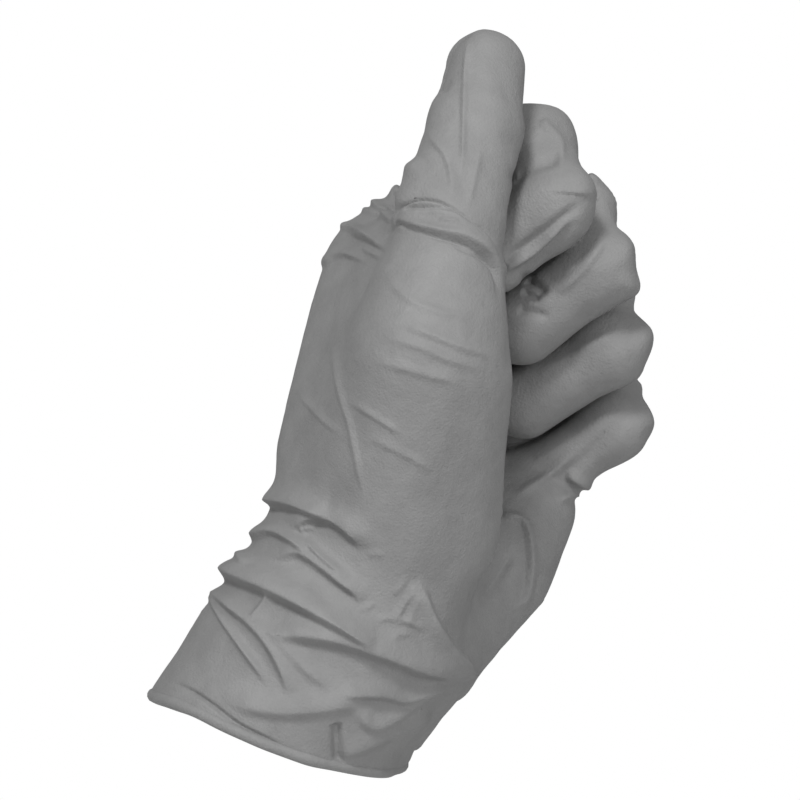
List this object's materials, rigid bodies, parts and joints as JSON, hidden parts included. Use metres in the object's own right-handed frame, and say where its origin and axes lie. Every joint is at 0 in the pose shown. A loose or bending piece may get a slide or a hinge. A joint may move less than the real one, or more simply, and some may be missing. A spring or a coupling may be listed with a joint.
{
  "type": "nitrile exam glove",
  "caption": "Disposable nitrile exam glove in the form of a loosely closed hand, hollow and open at its beaded cuff.",
  "frame": {"origin": "centre of the cuff's mouth, in the plane of its rim", "axes": "+Z square to the mouth and up into the glove, +X towards the palm's side, +Y towards the little finger's side, so the thumb stands on the -Y side"},
  "size_m": [0.0681, 0.1099, 0.1696],
  "materials": {
    "nitrile": "matte grey nitrile film with a fine grain"
  },
  "bodies": {
    "root": {"glove": "nitrile"}
  },
  "joints": []
}
